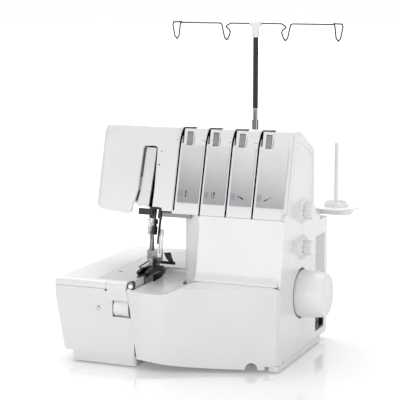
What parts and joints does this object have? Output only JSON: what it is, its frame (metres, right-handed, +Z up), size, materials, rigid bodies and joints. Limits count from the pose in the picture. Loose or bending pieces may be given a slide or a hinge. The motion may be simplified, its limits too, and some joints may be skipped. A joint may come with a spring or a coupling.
{
  "type": "serger overlock machine",
  "caption": "Four-thread overlock sewing machine with tension dials, loopers and knives, folding looper cover, hand wheel and telescopic thread stand.",
  "frame": {"origin": "centre of the footprint of the whole machine with its thread stand, on the table under the rubber feet", "axes": "+Z up; +X to the operator's right, towards the hand wheel; +Y away from the operator"},
  "size_m": [0.3339, 0.259, 0.4246],
  "materials": {
    "pan_grey": "satin",
    "rubber": "matte",
    "cast": "as cast",
    "white_shell": "satin",
    "steel": "polished",
    "black_plastic": "satin",
    "silver_sheet": "brushed",
    "grey_plastic": "satin",
    "lamp": "clear",
    "white_trim": "satin",
    "chrome": "polished",
    "blackened_steel": "satin",
    "bronze": "machined"
  },
  "bodies": {
    "machine": {"base_pan": "pan_grey", "rubber_feet": "rubber", "frame_casting": "cast", "rear_housing": "white_shell", "head_front_cover": "white_shell", "face_cover": "white_shell", "column_panel": "white_shell", "cover_hinge_rod": "steel", "side_cover": "white_shell", "bed_cover": "white_shell", "cloth_plate_latch": "black_plastic", "needle_plate": "silver_sheet", "needle_plate_screws": "steel", "silver_trim_plates": "silver_sheet", "thread_groove_liners": "black_plastic", "tension_dial_shaft": "steel", "tension_discs": "steel", "indicator_lamps": "lamp", "needle_guard": "chrome", "head_thread_guide": "blackened_steel", "work_light": "white_trim", "lower_knife": "steel", "knob_scales": "white_trim", "shaft_bushes": "bronze", "motor": "cast", "drive_belt": "rubber", "power_inlet": "black_plastic", "spool_tray": "white_shell", "spool_pins": "white_trim", "spool_discs": "white_trim", "pole_lower_tube": "chrome"},
    "looper_cover": {"looper_cover": "white_shell"},
    "cloth_plate": {"cloth_plate": "white_shell"},
    "tension_dial_1": {"tension_dial_1": "grey_plastic"},
    "tension_dial_2": {"tension_dial_2": "grey_plastic"},
    "tension_dial_3": {"tension_dial_3": "grey_plastic"},
    "tension_dial_4": {"tension_dial_4": "grey_plastic"},
    "take_up": {"take_up_lever": "white_trim"},
    "needle_bar": {"needle_bar": "steel", "needle_clamp": "steel", "needles": "steel"},
    "presser_bar": {"presser_bar": "steel", "presser_foot": "blackened_steel"},
    "presser_lifter": {"presser_lifter": "grey_plastic"},
    "upper_looper": {"upper_looper": "steel"},
    "lower_looper": {"lower_looper": "steel"},
    "upper_knife": {"upper_knife": "steel"},
    "feed_dog": {"feed_dog": "steel"},
    "cutting_width_dial": {"cutting_width_dial": "white_trim"},
    "stitch_length_knob": {"stitch_length_knob": "white_trim"},
    "differential_feed_knob": {"differential_feed_knob": "white_trim"},
    "main_shaft": {"hand_wheel": "white_trim", "main_shaft": "steel"},
    "motor_pulley": {"motor_pulley": "steel"},
    "power_switch": {"power_switch": "grey_plastic"},
    "pole_middle": {"pole_middle_tube": "chrome"},
    "pole_upper": {"pole_upper_tube": "blackened_steel"},
    "thread_guide": {"thread_guide_hub": "white_trim", "thread_guide_wire": "chrome"}
  },
  "joints": [
    {"name": "looper_cover_hinge", "type": "hinge", "parent": "machine", "child": "looper_cover", "pos_m": [0.018, -0.1175, 0.022], "axis": [1, 0, 0], "range_deg": [0, 60]},
    {"name": "cloth_plate_swing", "type": "hinge", "parent": "machine", "child": "cloth_plate", "pos_m": [-0.123, 0.0975, 0.1], "axis": [0, 0, 1], "range_deg": [-90, 0]},
    {"name": "tension_dial_1_turn", "type": "hinge", "parent": "machine", "child": "tension_dial_1", "pos_m": [-0.0189, -0.01893, 0.2754], "axis": [1, 0, 0], "range_deg": [-150, 150]},
    {"name": "tension_dial_2_turn", "type": "hinge", "parent": "machine", "child": "tension_dial_2", "pos_m": [0.0164, -0.01893, 0.2754], "axis": [1, 0, 0], "range_deg": [-150, 150]},
    {"name": "tension_dial_3_turn", "type": "hinge", "parent": "machine", "child": "tension_dial_3", "pos_m": [0.0517, -0.01893, 0.2754], "axis": [1, 0, 0], "range_deg": [-150, 150]},
    {"name": "tension_dial_4_turn", "type": "hinge", "parent": "machine", "child": "tension_dial_4", "pos_m": [0.087, -0.01893, 0.2754], "axis": [1, 0, 0], "range_deg": [-150, 150]},
    {"name": "take_up_lever_swing", "type": "hinge", "parent": "machine", "child": "take_up", "pos_m": [-0.082, -0.0135, 0.22], "axis": [1, 0, 0], "range_deg": [-10, 0]},
    {"name": "needle_bar_stroke", "type": "slide", "parent": "machine", "child": "needle_bar", "axis": [0, -0.2672, -0.9636], "range_m": [0, 0.027]},
    {"name": "presser_bar_lift", "type": "slide", "parent": "machine", "child": "presser_bar", "axis": [0, 0, 1], "range_m": [0, 0.006]},
    {"name": "presser_lifter_turn", "type": "hinge", "parent": "machine", "child": "presser_lifter", "pos_m": [-0.072, 0.0165, 0.198], "axis": [1, 0, 0], "range_deg": [0, 20]},
    {"name": "upper_looper_swing", "type": "hinge", "parent": "machine", "child": "upper_looper", "pos_m": [-0.04, -0.0535, 0.056], "axis": [0, 1, 0], "range_deg": [0, 14]},
    {"name": "lower_looper_swing", "type": "hinge", "parent": "machine", "child": "lower_looper", "pos_m": [-0.092, -0.0535, 0.048], "axis": [0, 1, 0], "range_deg": [-14, 0]},
    {"name": "upper_knife_cut", "type": "slide", "parent": "machine", "child": "upper_knife", "axis": [0, 0, 1], "range_m": [-0.006, 0]},
    {"name": "feed_dog_stroke", "type": "slide", "parent": "machine", "child": "feed_dog", "axis": [0, 1, 0], "range_m": [-0.003, 0.0035]},
    {"name": "cutting_width_dial_turn", "type": "hinge", "parent": "machine", "child": "cutting_width_dial", "pos_m": [-0.077, -0.1115, 0.0735], "axis": [1, 0, 0], "range_deg": [-90, 90]},
    {"name": "stitch_length_turn", "type": "hinge", "parent": "machine", "child": "stitch_length_knob", "pos_m": [0.118, 0.0045, 0.189], "axis": [1, 0, 0], "range_deg": [-135, 135]},
    {"name": "differential_feed_turn", "type": "hinge", "parent": "machine", "child": "differential_feed_knob", "pos_m": [0.118, 0.0045, 0.143], "axis": [1, 0, 0], "range_deg": [-135, 135]},
    {"name": "main_shaft_turn", "type": "hinge", "parent": "machine", "child": "main_shaft", "pos_m": [0.118, 0.0035, 0.084], "axis": [1, 0, 0], "continuous": true},
    {"name": "motor_pulley_turn", "type": "hinge", "parent": "machine", "child": "motor_pulley", "pos_m": [0.118, 0.0625, 0.062], "axis": [1, 0, 0], "continuous": true},
    {"name": "power_switch_rock", "type": "hinge", "parent": "machine", "child": "power_switch", "pos_m": [0.115, 0.07175, 0.0265], "axis": [0, 0, 1], "range_deg": [-5, 5]},
    {"name": "pole_middle_slide", "type": "slide", "parent": "machine", "child": "pole_middle", "axis": [0, 0, 1], "range_m": [-0.084, 0]},
    {"name": "pole_upper_slide", "type": "slide", "parent": "pole_middle", "child": "pole_upper", "axis": [0, 0, 1], "range_m": [-0.024, 0]},
    {"name": "thread_guide_swivel", "type": "hinge", "parent": "pole_upper", "child": "thread_guide", "pos_m": [0.02, 0.0965, 0.415], "axis": [0, 0, 1], "range_deg": [-180, 180]}
  ],
  "couplings": [
    {"joint": "presser_lifter_turn", "follows": "presser_bar_lift", "rad_per_m": 58.178},
    {"joint": "motor_pulley_turn", "follows": "main_shaft_turn", "ratio": 3.75}
  ]
}
